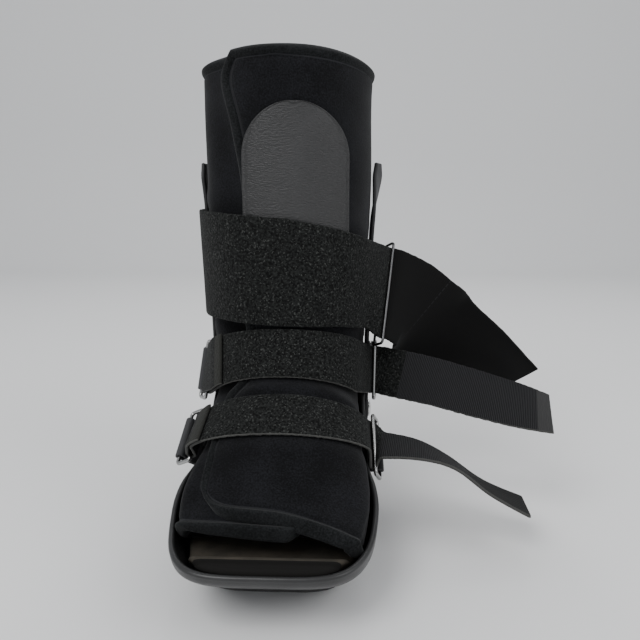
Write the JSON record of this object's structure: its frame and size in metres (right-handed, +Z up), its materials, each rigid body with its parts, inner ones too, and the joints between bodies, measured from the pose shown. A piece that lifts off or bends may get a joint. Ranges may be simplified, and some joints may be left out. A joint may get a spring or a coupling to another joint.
{
  "type": "medical walking boot",
  "caption": "Walking boot brace for a healing ankle: rocker sole, padded wrap liner, side stays and closing straps with wire loops.",
  "frame": {"origin": "on the floor under the leg's axis, in the middle of the flat part of the sole", "axes": "+Z up along the leg, -Y towards the toe, +X towards the side that the free strap ends leave from"},
  "size_m": [0.2815, 0.2826, 0.346],
  "materials": {
    "liner": "brushed loop fabric",
    "panel": "grained, semi-matt",
    "strap": "loop pile",
    "webbing": "woven",
    "steel": "polished",
    "stay": "gloss black",
    "shell": "moulded, matt",
    "sole": "matt",
    "insole": "foam-backed fabric"
  },
  "bodies": {
    "root": {"outsole": "sole", "foot_shell": "shell", "insole": "insole", "liner": "liner", "shin_panel": "panel", "upright_left": "stay", "upright_right": "stay", "pivot_left": "steel", "pivot_right": "steel", "calf_ring": "steel", "ankle_ring_left": "steel", "ankle_ring_right": "steel", "forefoot_ring_left": "steel", "forefoot_ring_right": "steel", "calf_keeper": "webbing", "ankle_keeper_left": "webbing", "ankle_keeper_right": "webbing", "forefoot_keeper_left": "webbing", "forefoot_keeper_right": "webbing", "calf_strap": "strap", "ankle_strap": "strap", "forefoot_strap": "strap"}
  },
  "joints": []
}
